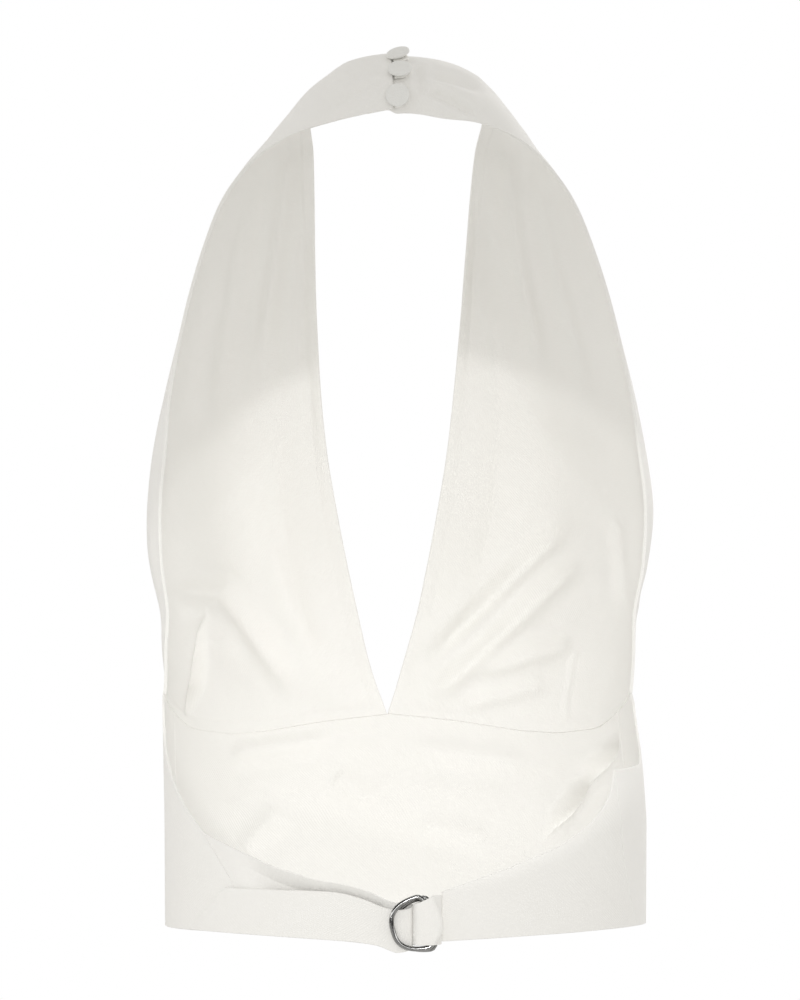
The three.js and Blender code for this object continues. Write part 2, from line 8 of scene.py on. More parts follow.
import bpy
import numpy as np
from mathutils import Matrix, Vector

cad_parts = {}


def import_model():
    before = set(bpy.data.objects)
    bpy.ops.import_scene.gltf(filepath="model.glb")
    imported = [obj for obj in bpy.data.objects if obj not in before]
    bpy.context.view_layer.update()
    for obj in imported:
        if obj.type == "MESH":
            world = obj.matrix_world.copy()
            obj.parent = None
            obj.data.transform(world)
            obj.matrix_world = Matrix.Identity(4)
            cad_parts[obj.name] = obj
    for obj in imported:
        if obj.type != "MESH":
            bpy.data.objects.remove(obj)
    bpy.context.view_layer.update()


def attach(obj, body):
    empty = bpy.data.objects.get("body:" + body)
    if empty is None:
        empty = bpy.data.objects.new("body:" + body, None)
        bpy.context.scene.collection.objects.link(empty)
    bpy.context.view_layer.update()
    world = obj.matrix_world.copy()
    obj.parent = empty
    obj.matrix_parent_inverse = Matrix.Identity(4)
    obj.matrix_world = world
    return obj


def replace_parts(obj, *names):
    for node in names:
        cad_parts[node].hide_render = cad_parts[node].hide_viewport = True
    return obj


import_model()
MM = 0.001

# Sizes shared with the solids
BODY_CENTRE = 80.8
SEAM_GAP = 0.12
SOLID_CLOTH = 1.4
CLOTH = 1.1
ROUND_RIM = 0.35

TORSO_ROUNDNESS = 2.2
WAIST_SHIFT = 4.2
INSIDE_BODY = (0, BODY_CENTRE, -200.0)
# height, half width, sideways shift, depth to the front, depth to the back
TORSO_RINGS = np.array([
    (-418, 119.6, 4.2, 92, 88.5),
    (-362, 119.9, 4.2, 90, 88),
    (-336, 119.2, 3.0, 88.5, 87.5),
    (-313, 118.0, 1.4, 88, 86.5),
    (-285, 117.8, 0.4, 90, 86),
], float)

# Angles count from the middle of the back (0) past the side (90) to the front (180)
FRONT_SIDE_SEAM = 105
FRONT_SEAM_GAP = 0.1
BAND_SEAM_GAP = 0.14
ARMHOLE_FOOT = 95
FRONT_HEM = -416.5

# angle, height
BUST_SEAM = [(95, -300), (105, -310), (114, -319), (128, -322.5), (140, -321.5), (158, -317), (180, -313.3)]
SIDE_TOP = {
    "left": [(63, -366.4), (71, -353.4), (79.4, -337), (86, -323), (91, -306), (95, -300.4)],
    "right": [(63.3, -336), (71, -335.6), (80, -334.6), (87, -323), (91.5, -306), (95, -300.4)],
}
BAND_TOP = {
    "left": [(0, -399.2), (9, -398.0), (15.3, -393.4), (24.6, -389.4), (34.7, -387.4), (46.9, -381.2),
             (54.2, -374.8), (63, -366.4)],
    "right": [(6, -394.4), (28.7, -381.4), (42.7, -372.4), (52.9, -361.2), (57.7, -353.6), (61.4, -346.2),
              (63.3, -336)],
}
BACK_HEM = [(0, -417.4), (12, -416.2), (32, -414.5), (50, -413.4), (62, -413.3), (75, -413.8), (90, -414.6),
            (105, -416.2)]
# height, angle
SIDE_BACK_SEAM = {
    "left": [(-417, 47), (-388, 54.4), (-375, 59.4), (-366.4, 63)],
    "right": [(-417, 74), (-397, 68.3), (-377, 65.2), (-336, 63.3)],
}

# A row for each section: neck edge x, y, z; armhole edge x, y, z; bow; cup. y counts from the body's middle
HALTER_SECTIONS = np.array([
    (0.6, 88.5, -313, 118.4, 10, -299.8, 36, 0),
    (7.2, 92, -293, 117.8, 3, -280, 36, 6),
    (14.2, 96, -267, 117.0, -3, -259, 35, 12),
    (20.4, 99, -239, 120.4, -9, -235, 35, 16),
    (26.2, 101, -209, 121.2, -12, -206, 36, 17),
    (31.2, 102, -179, 118.4, -8, -177, 34, 13),
    (34.6, 98, -147, 115.6, 0, -149, 26, 8),
    (37.4, 84, -107, 106.6, 6, -106, 17, 3),
    (38.8, 67, -76, 96.6, 5, -73.5, 13, 0),
    (39.8, 49, -50, 87.2, 0, -52, 9, 0),
    (41.2, 28, -27, 74.4, -14, -36, 6, 0),
    (43.5, 2, -9.5, 61.5, -38, -27, 5.5, 0),
    (36.0, -27, 3, 47.0, -61, -21.5, 6.8, 0),
    (21.0, -45, 10.8, 26.5, -78.5, -17, 8.3, 0),
    (0, -51.6, 12.8, 0, -86.4, -12.9, 8.8, 0),
], float)
BOW_FULLNESS = 3
# Place across the panel (0 at the neck edge), spread, and how soon the cup rises from the neck edge
CUP_PLACE, CUP_SPREAD, CUP_RISE = 0.3, 0.24, 8
# Rows over which the panel's foot runs into the bust seam
SEAM_BLEND = 1.6
# Both panels lean to the right, and their feet stand a little to the left of the middle
LEAN_BY, LEAN_ROWS, LEAN_POWER = 2.4, 10, 0.7
FOOT_BY, FOOT_ROWS, FOOT_ANGLE, FOOT_GAP = -2, 2.5, 1.3, 0.3
# Where each half ends at the nape. The left one steps up onto the right one, whose lower edge shows below it
NAPE_END = {-1: -6.4, 1: -19}
OVERLAP_STEP = SOLID_CLOTH + 0.3
STEP_FROM, STEP_TO = -38, -25
LOWER_SHARE, LOWER_HIDDEN, LOWER_FROM, LOWER_TO, LOWER_NONE = 0.034, -9.5, -4.5, 14, 38

# Buttons: across the strap, sideways, turn
BUTTON_ROW = {"top": (0.32, -2.4, -13), "middle": (0.63, -2.7, 0), "bottom": (0.915, -4.0, 0)}
BUTTON_RADIUS, BUTTON_DOME, BUTTON_RIM, SHANK_RADIUS, SHANK_HEIGHT = 5.8, 2.2, 1.2, 1.9, 2.1
# From the shank outwards: how far inside the button's edge and how far above the shank
BUTTON_UNDERSIDE = [(1.5, 0.02), (0.5, 0.12), (0.1, 0.45), (0, 0.75)]
BUTTON_LIFT, LEANING_LIFT = 0.3, 0.35
PLEATS, PLEAT_DEPTH = 10, 0.012
LOOP_CORD, LOOP_BEND = 0.85, 3.3

# The buckle
RING_WIRE, RING_HALF, RING_DEPTH, RING_SQUARENESS, RING_CORNER = 1.2, 12.6, 17.6, 2.6, 1.6
# across, height, out, tilt
RINGS = {"d_ring_inner": (12.4, -407.6, 2.2, 8), "d_ring_outer": (10.0, -406.4, 6.7, 14)}
BUCKLE_BACK = 88.4
# from, to, low, high, how much the upper edge climbs towards the band, out, corner
RING_LOOP = (4.1, 17.0, -417.8, -398.4, 4.2, 8.9, 3.4)
BAND_ENDS = {"left": 0.5, "right": 17.3}
# along, out, low, high
STRAP_PATH = np.array([
    (0.8, 0, -417.4, -399.0),
    (2.36, 0.64, -417.2, -399.0),
    (3.0, 2.2, -417.2, -399.1),
    (2.36, 3.76, -418.6, -399.8),
    (0.8, 4.4, -420.6, -400.8),
    (-4.4, 4.5, -421.6, -401.6),
    (-8.4, 3.6, -420.4, -401.0),
    (-14, 2.0, -418.2, -399.6),
    (-24, 1.75, -416.6, -396.4),
    (-40, 1.75, -415.4, -393.2),
    (-68, 1.75, -414.1, -392.4),
    (-94, 1.75, -413.5, -392.2),
], float)
TIP_SLANT = 17
TIP_TURN = 1.9
# The band behind the strap end: how far it sinks in, how far below its top edge it is sunk whole and where
# that ends, and the places across where the sinking starts and stops
BAND_SUNK, SUNK_WHOLE, SUNK_FROM, SUNK_NONE = 3.6, 8, 13, 26
SUNK_LEFT, SUNK_RIGHT = (-84, -64), (-14, -5)
# The filled loop of cloth: bulge, how far its right edge is drawn in at the top and bottom, and how far its
# front laps over the turn of the strap
LOOP_BULGE, LOOP_DRAWN_TOP, LOOP_DRAWN_BOTTOM, LOOP_LAPPED, LOOP_TUCK = 0.9, 4.4, 3.4, 1.7, 0.25

# Turned edges and seam allowances: how much thicker the cloth is there and how wide each is
NECK_TURN, NECK_TURN_WIDTH = 0.55, 5.0
NECK_TURN_MORE = {-1: 3.0, 1: 0.5}
ARMHOLE_TURN, ARMHOLE_TURN_WIDTH = 0.5, 4.95
BUST_ALLOWANCE, BUST_ALLOWANCE_WIDTH = 0.45, 5.2
# Rows of the halter panels where the body's creases stop and the nape's begin
BODY_CREASES_STOP, NAPE_CREASES_START = (10.2, 11.4), (11.2, 12.2)

# How round a tent's ridge is, and how high and far out a valley's rim is, for its own depth and width
TENT_RIDGE = 3
RIM_HEIGHT, RIM_PLACE = 0.28, 2.1
# Creases seen on the inside of the cloth. Each has the places x, z that it runs through, how deep it goes
# away from the inside (less than 0 for a ridge), how wide it is and its shape: a valley with a low rim
# round it, a tent with straight sides, or a fold that narrows to both ends
CREASES = {
    "halter_left": [
        ([(-112, -228), (-89, -208), (-71, -193), (-45, -162), (-33, -146)], 3.2, 20, "tent"),
        ([(-116, -250), (-99.6, -249.4), (-84, -251), (-68, -273), (-45.4, -306)], 3.3, 5.0, "valley"),
        ([(-110, -262), (-94, -262), (-82, -270), (-70, -292)], -1.6, 5.0, "valley"),
        ([(-96, -256), (-96, -276), (-99, -296), (-107, -317)], 8.0, 2.6, "fold"),
        ([(-62, -222), (-52, -252), (-38, -284)], 2.2, 5.4, "valley"),
        ([(-51.2, -15.8), (-54.8, -49), (-60.4, -95), (-65.5, -136)], 2.9, 4.6, "valley"),
        ([(-65.5, -36.4), (-76.8, -80), (-84, -121), (-89, -162)], 3.2, 5.6, "valley"),
        ([(-90, -81), (-99.7, -127), (-107, -172.5)], 2.2, 5.0, "valley"),
        ([(-43, -60), (-45, -100), (-47, -150)], 1.5, 4.0, "valley"),
    ],
    "halter_right": [
        ([(42, -92), (53.4, -120), (63.7, -141), (76.7, -164), (89.7, -182), (110.5, -209)],
         3.2, 20, "tent"),
        ([(94, -212), (73, -236), (50, -260), (18, -291)], 5.2, 5.0, "valley"),
        ([(100, -230), (80, -251), (53, -279), (20, -308)], 4.8, 5.0, "valley"),
        ([(96, -275), (74, -283), (45, -295)], 3.2, 4.6, "valley"),
        ([(82, -297), (60, -303), (36, -310)], 2.4, 4.2, "valley"),
        ([(97.1, -277), (94, -286), (90.4, -304), (89.9, -318)], 0.7, 1.4, "valley"),
        ([(54.9, -18.3), (59, -49), (66.7, -90), (79.6, -141.4)], 3.2, 4.6, "valley"),
        ([(67.1, -33.4), (75.9, -64), (90.8, -115.6), (102.2, -162)], 3.0, 5.6, "valley"),
        ([(79.6, -45), (94.4, -81.7), (107.2, -121.4)], 2.2, 4.8, "valley"),
        ([(43, -52), (45, -84), (47, -118)], 1.6, 4.0, "valley"),
        ([(82.3, -41.5), (85.9, -46.6), (89, -51.6)], 0.8, 1.5, "valley"),
        ([(93, -56.7), (96.1, -68.4)], 0.8, 1.5, "valley"),
        ([(109, -208.6), (113.8, -218), (116.3, -236.7), (117.3, -251), (119.5, -263)], 1.6, 2.6, "valley"),
    ],
    "nape": [
        ([(5, 10), (7, 2), (7.5, -7)], -2.2, 2.4, "valley"),
        ([(11, 3.5), (24, 1.5), (40, -3)], -2.5, 2.4, "valley"),
        ([(9, -4), (22, -9.5), (36, -17)], -2.4, 2.4, "valley"),
        ([(-38, -13), (-22, -6), (-8, 0.5)], -1.3, 2.6, "valley"),
        ([(-34, 0), (-22, 4), (-9, 8)], -0.9, 2.2, "valley"),
    ],
    "waist": [
        ([(78, -380), (84, -370), (91, -360), (98, -349), (103, -341)], 9.0, 3.4, "fold"),
        ([(98, -352), (104, -340), (109, -331), (115, -321)], 8.5, 3.4, "fold"),
        ([(86, -381), (97, -367), (106, -353), (110, -343)], -2.6, 4.2, "fold"),
        ([(74, -372), (84, -358), (94, -343), (104, -329)], -1.4, 6.0, "fold"),
        ([(-84, -333), (-56, -329.7), (-26, -326)], 2.4, 4.6, "valley"),
        ([(-28, -344), (-8.3, -359.3)], 1.9, 5.5, "valley"),
        ([(16, -371), (52, -376.5)], 1.6, 5.0, "valley"),
        ([(-76, -384), (-54, -361)], 2.0, 5.5, "valley"),
        ([(10, -330), (40, -334), (74, -338)], 1.9, 5.0, "valley"),
    ],
}


# Small helpers for curves and tables

def through(values, t):
    """A smooth curve through evenly numbered rows, read at t from 0 to 1."""
    values = np.asarray(values, float)
    if values.ndim == 1:
        values = values[:, None]
    last = len(values) - 1
    place = np.clip(t, 0, 1) * last
    i = np.minimum(np.floor(place), last - 1).astype(int)
    f = (place - i)[..., None]
    padded = np.vstack([2 * values[:1] - values[1:2], values, 2 * values[-1:] - values[-2:-1]])
    a, b, c, d = (padded[i + k] for k in range(4))
    return b + 0.5 * f * (c - a + f * (2 * a - 5 * b + 4 * c - d + f * (3 * (b - c) + d - a)))


def read(rows, at):
    """The second column of a table read between its rows, with softened corners."""
    rows = np.asarray(rows, float)
    rows = rows[np.argsort(rows[:, 0])]
    keys, column = rows[:, 0], rows[:, 1]
    at = np.asarray(at, float)
    first, last = keys[0], keys[-1]
    soft = np.maximum(np.minimum(np.minimum((last - first) * 0.03, at - first), last - at), 0)
    line = lambda x: np.interp(x, keys, column)
    return (line(at - soft) + 2 * line(at) + line(at + soft)) / 4


def smooth(x, low, high):
    t = np.clip((np.asarray(x, float) - low) / (high - low), 0, 1)
    return t * t * (3 - 2 * t)


def lerp(a, b, t):
    return a + (b - a) * t


def unit(v):
    return v / np.maximum(np.linalg.norm(v, axis=-1, keepdims=True), 1e-9)


# The body's ring

def ring(column, height):
    return read(TORSO_RINGS[:, [0, column]], height)


def torso_point(angle, height, side, out=0.0):
    angle, height = np.broadcast_arrays(np.asarray(angle, float), np.asarray(height, float))
    half = ring(1, height) + out
    depth = np.where(angle < 90, ring(4, height), ring(3, height)) + out
    sine, cosine = np.sin(np.radians(angle)), np.cos(np.radians(angle))
    power = TORSO_ROUNDNESS
    radius = (np.abs(sine / half) ** power + np.abs(cosine / depth) ** power) ** (-1 / power)
    return np.stack([ring(2, height) + side * radius * sine, BODY_CENTRE - radius * cosine, height], -1)


def back_angle(across, height):
    shift, half, back = ring(2, height), ring(1, height), ring(4, height)
    reach = np.minimum(np.abs(across - shift) / half, 1)
    depth = back * (1 - reach ** TORSO_ROUNDNESS) ** (1 / TORSO_ROUNDNESS)
    return np.degrees(np.arctan2(across - shift, depth))


# The halter panels

def mirrored(row):
    return row * np.array([-1, 1, 1, -1, 1, 1, 1, 1])


ALL_SECTIONS = np.vstack([HALTER_SECTIONS, mirrored(HALTER_SECTIONS[-2]), mirrored(HALTER_SECTIONS[-3])])
NAPE_ROW = len(HALTER_SECTIONS) - 1


def section(row):
    return through(ALL_SECTIONS, np.asarray(row, float) / (len(ALL_SECTIONS) - 1))


def halter_form(s, row, side):
    s, row = np.broadcast_arrays(np.asarray(s, float), np.asarray(row, float))
    here, below, above = section(row), section(np.maximum(row - 0.15, 0)), section(row + 0.15)
    chord = here[..., 3:6] - here[..., 0:3]
    middle = lambda r: (r[..., 0:3] + r[..., 3:6]) / 2
    out = unit(np.cross(middle(above) - middle(below), chord))
    bow = here[..., 6] * (1 - np.abs(2 * s - 1) ** BOW_FULLNESS)
    cup = here[..., 7] * np.exp(-(((s - CUP_PLACE) / CUP_SPREAD) ** 2)) * np.minimum(1, s * CUP_RISE)
    point = here[..., 0:3] + chord * s[..., None] + out * bow[..., None]
    reach = np.minimum(np.maximum(row, 0) / LEAN_ROWS, 1) ** LEAN_POWER
    lean = LEAN_BY * s * np.sin(np.pi * reach)
    foot = FOOT_BY * (1 - s) * (1 - smooth(row, 0, FOOT_ROWS))
    x = side * point[..., 0] + lean + foot
    return np.stack([x, point[..., 1] + cup + BODY_CENTRE, point[..., 2]], -1)


def nape_row(s, across):
    s, across = np.broadcast_arrays(np.asarray(s, float), np.asarray(across, float))
    low, high = np.full(s.shape, NAPE_ROW - 3.0), np.full(s.shape, NAPE_ROW + 1.0)
    for _ in range(24):
        half = (low + high) / 2
        beyond = halter_form(s, half, 1)[..., 0] > across
        low, high = np.where(beyond, half, low), np.where(beyond, high, half)
    return (low + high) / 2


def halter_normal(s, row, side):
    step = 0.02
    right, left = np.minimum(s + step, 1), np.maximum(s - step, 0)
    across = halter_form(right, row, side) - halter_form(left, row, side)
    along = halter_form(s, row + step, side) - halter_form(s, row - step, side)
    return unit(np.cross(along, across) * side)


def nape_point(s, across, out):
    row = nape_row(s, across)
    return halter_form(s, row, 1) + halter_normal(s, row, 1) * out


def bust_seam_point(s, side):
    middle = 180 - FOOT_GAP + side * FOOT_ANGLE
    angle = lerp(middle, ARMHOLE_FOOT, s)
    return torso_point(angle, read(BUST_SEAM, angle) + SEAM_GAP, side)


def halter_surface(s, t, side):
    row = t * nape_row(s, side * NAPE_END[side])
    plain = halter_form(s, row, side)
    if side > 0:
        x = plain[..., 0]
        beside = smooth(x, LOWER_HIDDEN, LOWER_FROM) - smooth(x, LOWER_TO, LOWER_NONE)
        lower = np.where(row > NAPE_ROW - 3, LOWER_SHARE * beside, 0)
        point = halter_form(s * (1 + lower), row, side)
    else:
        point = plain
    share = np.where(row < SEAM_BLEND, 0.5 + 0.5 * np.cos(np.pi * np.minimum(row / SEAM_BLEND, 1)), 0)
    point = point + (bust_seam_point(s, side) - halter_form(s, np.zeros_like(row), side)) * share[..., None]
    if side < 0:
        lift = OVERLAP_STEP * smooth(point[..., 0], STEP_FROM, STEP_TO) * (row > NAPE_ROW - 3)
        point = point + halter_normal(s, row, side) * lift[..., None]
    return point, row


# Meshes

def grid_normals(points):
    du = np.gradient(points, axis=1)
    dv = np.gradient(points, axis=0)
    return unit(np.cross(du, dv))


def lengths_along(points, axis):
    """Millimetres from the first row or column of a grid to each of its points, along the surface."""
    gone = np.cumsum(np.linalg.norm(np.diff(points, axis=axis), axis=-1), axis)
    return np.concatenate([np.zeros_like(np.take(gone, [0], axis)), gone], axis)


def edge_of(distance, width, softness):
    """1 on the cloth nearer to an edge than width, and 0 beyond it."""
    return 1 - smooth(distance, width - softness, width + softness)


def cloth_uv(points):
    """Places on the flat cloth in metres, counted along the surface."""
    u = lengths_along(points, 1)
    u -= u[:, -1:] / 2
    v = np.broadcast_to(lengths_along(points, 0).mean(1, keepdims=True), u.shape)
    return np.stack([u, v], -1) * MM


def build(name, verts, faces, material, sharp=None, uv=None):
    """A piece from points in millimetres. Edges sharper than sharp degrees stay sharp."""
    mesh = bpy.data.meshes.new(name)
    mesh.from_pydata((np.asarray(verts) * MM).tolist(), [], faces)
    if uv is not None:
        layer = mesh.uv_layers.new(name="cloth")
        index = np.zeros(len(mesh.loops), np.int32)
        mesh.loops.foreach_get("vertex_index", index)
        layer.data.foreach_set("uv", np.asarray(uv, np.float32)[index].ravel())
    mesh.polygons.foreach_set("use_smooth", np.ones(len(mesh.polygons), bool))
    mesh.validate()
    mesh.update()
    if sharp is not None:
        mesh.set_sharp_from_angle(angle=math.radians(sharp))
    piece = bpy.data.objects.new(name, mesh)
    bpy.context.scene.collection.objects.link(piece)
    mesh.materials.append(material)
    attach(piece, "root")
    return piece


def shell(name, points, front=CLOTH / 2, back=CLOTH / 2):
    """A wall of cloth round a grid of points. front and back are its depths on the two sides."""
    rows, columns = points.shape[:2]
    normal = grid_normals(points)
    front = np.broadcast_to(front, (rows, columns))
    back = np.broadcast_to(back, (rows, columns))
    top = points + normal * front[..., None]
    under = points - normal * back[..., None]
    uv = cloth_uv(points).reshape(-1, 2)
    number = np.arange(rows * columns).reshape(rows, columns)
    count = rows * columns
    corners = [number[:-1, :-1], number[:-1, 1:], number[1:, 1:], number[1:, :-1]]
    quads = np.stack(corners, -1).reshape(-1, 4)
    around = np.concatenate([number[0, :-1], number[:-1, -1], number[-1, :0:-1], number[:0:-1, 0]])
    following = np.roll(around, -1)
    flat_points, flat_normal = points.reshape(-1, 3), normal.reshape(-1, 3)
    outward = rim_directions(points)[around]
    middle = flat_points[around] + flat_normal[around] * ((front - back).ravel()[around, None] / 2)
    middle = middle + outward * ROUND_RIM
    ring_number = 2 * count + np.arange(len(around))
    ring_next = np.roll(ring_number, -1)
    faces = np.concatenate([
        quads,
        quads[:, ::-1] + count,
        np.stack([around, ring_number, ring_next, following], -1),
        np.stack([ring_number, around + count, following + count, ring_next], -1),
    ])
    verts = np.concatenate([top.reshape(-1, 3), under.reshape(-1, 3), middle])
    all_uv = np.concatenate([uv, uv, uv[around]])
    return build(name, verts, faces.tolist(), CLOTH_LOOK, sharp=55, uv=all_uv)


def rim_directions(points):
    """For each point on the rim, the direction in the cloth that leads out of it."""
    du = unit(np.gradient(points, axis=1))
    dv = unit(np.gradient(points, axis=0))
    out = np.zeros_like(points)
    out[:, 0] -= du[:, 0]
    out[:, -1] += du[:, -1]
    out[0] -= dv[0]
    out[-1] += dv[-1]
    return unit(out).reshape(-1, 3)


def tube(name, path, radius, sides, material, closed=False, up=(0, -1, 0)):
    """A round cord or wire along a path."""
    path = np.asarray(path, float)
    count = len(path)
    if closed:
        along = unit(np.roll(path, -1, 0) - np.roll(path, 1, 0))
    else:
        along = unit(np.gradient(path, axis=0))
    normal = np.array(up, float)
    turn = np.linspace(0, 2 * np.pi, sides, endpoint=False)[:, None]
    verts = []
    for k in range(count):
        normal = unit(normal - along[k] * normal.dot(along[k]))
        other = np.cross(along[k], normal)
        verts.append(path[k] + radius * (np.cos(turn) * normal + np.sin(turn) * other))
    faces = []
    for k in range(count if closed else count - 1):
        low, high = k * sides, ((k + 1) % count) * sides
        faces += [(low + s, low + (s + 1) % sides, high + (s + 1) % sides, high + s) for s in range(sides)]
    if not closed:
        faces += [tuple(range(sides))[::-1], tuple(range((count - 1) * sides, count * sides))]
    return build(name, np.concatenate(verts), faces, material, sharp=60)


def line_distance(places, line):
    """Distance from places x, z to a line of points, and how far along it the nearest point is."""
    line = np.asarray(line, float)
    lengths = np.linalg.norm(np.diff(line, axis=0), axis=1)
    total = lengths.sum()
    best = np.full(places.shape[:-1], 1e9)
    along = np.zeros(places.shape[:-1])
    done = 0.0
    for a, b, length in zip(line[:-1], line[1:], lengths):
        t = np.clip(((places - a) @ (b - a)) / length ** 2, 0, 1)
        d = np.linalg.norm(places - (a + t[..., None] * (b - a)), axis=-1)
        nearer = d < best
        best = np.where(nearer, d, best)
        along = np.where(nearer, (done + t * length) / total, along)
        done += length
    return best, along


def crease_shift(points, rows, outward):
    """How far the creases move each point of a grid along outward."""
    places = points[..., [0, 2]]
    depth = np.zeros(points.shape[:-1])
    for line, deep, wide, shape in rows:
        d, along = line_distance(places, line)
        if shape == "tent":
            ends = 1.0
            profile = np.exp((TENT_RIDGE - np.sqrt(d ** 2 + TENT_RIDGE ** 2)) / wide)
        elif shape == "fold":
            ends = smooth(along, -0.001, 0.5) * (1 - smooth(along, 0.62, 1.001))
            profile = np.exp(-((d / (wide * (0.4 + 0.6 * ends))) ** 2))
        else:
            ends = smooth(along, -0.001, 0.18) * (1 - smooth(along, 0.78, 1.001))
            rim = np.exp(-((d / wide - RIM_PLACE) ** 2))
            profile = np.exp(-((d / wide) ** 2)) - RIM_HEIGHT * rim
        depth += deep * profile * ends
    return outward * depth[..., None]


# Materials, with sizes in metres

THREAD = 0.00075


def nodes_of(name):
    material = bpy.data.materials.new(name)
    material.use_nodes = True
    tree = material.node_tree
    return material, tree, tree.nodes["Principled BSDF"]


def link(tree, a, b):
    tree.links.new(a, b)


def add(tree, kind, **values):
    node = tree.nodes.new(kind)
    for key, value in values.items():
        if hasattr(node, key):
            setattr(node, key, value)
        else:
            node.inputs[key].default_value = value
    return node


def cloth_material(name, colour, shade, use_uv=True, bump=0.28):
    """Plain off-white cloth with a twill grain, slubs, a soft sheen and faint uneven tone."""
    material, tree, shader = nodes_of(name)
    coordinates = add(tree, "ShaderNodeTexCoord")
    source = coordinates.outputs["UV"] if use_uv else coordinates.outputs["Object"]
    shader.inputs["Roughness"].default_value = 0.86
    shader.inputs["Sheen Weight"].default_value = 0.12
    shader.inputs["Sheen Roughness"].default_value = 0.45
    shader.inputs["Specular IOR Level"].default_value = 0.25

    tone = add(tree, "ShaderNodeTexNoise", Scale=14.0, Detail=3.0, Roughness=0.55)
    link(tree, source, tone.inputs["Vector"])
    slub_place = add(tree, "ShaderNodeMapping")
    slub_place.inputs["Scale"].default_value = (260, 2600, 1000)
    link(tree, source, slub_place.inputs["Vector"])
    slub = add(tree, "ShaderNodeTexNoise", Scale=1.0, Detail=2.0, Roughness=0.5)
    link(tree, slub_place.outputs["Vector"], slub.inputs["Vector"])
    ramp = add(tree, "ShaderNodeValToRGB")
    ramp.color_ramp.elements[0].position = 0.3
    ramp.color_ramp.elements[0].color = (*shade, 1)
    ramp.color_ramp.elements[1].position = 0.72
    ramp.color_ramp.elements[1].color = (*colour, 1)
    both = add(tree, "ShaderNodeMath", operation="ADD")
    for place, (noise, share) in enumerate(((slub, 0.45), (tone, 0.55))):
        part = add(tree, "ShaderNodeMath", operation="MULTIPLY")
        part.inputs[1].default_value = share
        link(tree, noise.outputs["Fac"], part.inputs[0])
        link(tree, part.outputs[0], both.inputs[place])
    link(tree, both.outputs[0], ramp.inputs["Fac"])
    link(tree, ramp.outputs["Color"], shader.inputs["Base Color"])

    grain = add(tree, "ShaderNodeTexWave", wave_type="BANDS", bands_direction="DIAGONAL",
                wave_profile="SIN", Scale=2 * math.pi / (20 * THREAD), Distortion=0.6, Detail=1.0)
    grain.inputs["Detail Scale"].default_value = 0.4
    link(tree, source, grain.inputs["Vector"])
    crumple = add(tree, "ShaderNodeTexNoise", Scale=55.0, Detail=4.0, Roughness=0.5)
    link(tree, source, crumple.inputs["Vector"])
    fine = add(tree, "ShaderNodeBump", Strength=bump, Distance=0.00018)
    link(tree, grain.outputs["Fac"], fine.inputs["Height"])
    soft = add(tree, "ShaderNodeBump", Strength=0.35, Distance=0.0012)
    link(tree, crumple.outputs["Fac"], soft.inputs["Height"])
    link(tree, soft.outputs["Normal"], fine.inputs["Normal"])
    link(tree, fine.outputs["Normal"], shader.inputs["Normal"])
    return material


def metal_material():
    """Polished silver coloured wire with faint handling marks."""
    material, tree, shader = nodes_of("ring_metal")
    shader.inputs["Metallic"].default_value = 1.0
    coordinates = add(tree, "ShaderNodeTexCoord")
    marks = add(tree, "ShaderNodeTexNoise", Scale=420.0, Detail=4.0, Roughness=0.6)
    link(tree, coordinates.outputs["Object"], marks.inputs["Vector"])
    rough = add(tree, "ShaderNodeMapRange")
    rough.inputs["To Min"].default_value = 0.12
    rough.inputs["To Max"].default_value = 0.26
    link(tree, marks.outputs["Fac"], rough.inputs["Value"])
    link(tree, rough.outputs["Result"], shader.inputs["Roughness"])
    tint = add(tree, "ShaderNodeValToRGB")
    tint.color_ramp.elements[0].color = (0.20, 0.20, 0.195, 1)
    tint.color_ramp.elements[1].color = (0.40, 0.40, 0.40, 1)
    link(tree, marks.outputs["Fac"], tint.inputs["Fac"])
    link(tree, tint.outputs["Color"], shader.inputs["Base Color"])
    bump = add(tree, "ShaderNodeBump", Strength=0.08, Distance=0.0001)
    link(tree, marks.outputs["Fac"], bump.inputs["Height"])
    link(tree, bump.outputs["Normal"], shader.inputs["Normal"])
    return material


CLOTH_LOOK = cloth_material("cloth", (0.90, 0.893, 0.868), (0.865, 0.855, 0.825))
BUTTON_LOOK = cloth_material("button_cloth", (0.86, 0.86, 0.84), (0.80, 0.80, 0.77), use_uv=False, bump=0.4)
CORD_LOOK = cloth_material("loop_cloth", (0.90, 0.89, 0.86), (0.86, 0.85, 0.81), use_uv=False, bump=0.4)
METAL = metal_material()

FINE = 1.0


def steps(count):
    return max(6, int(count * FINE))


# The halter panels

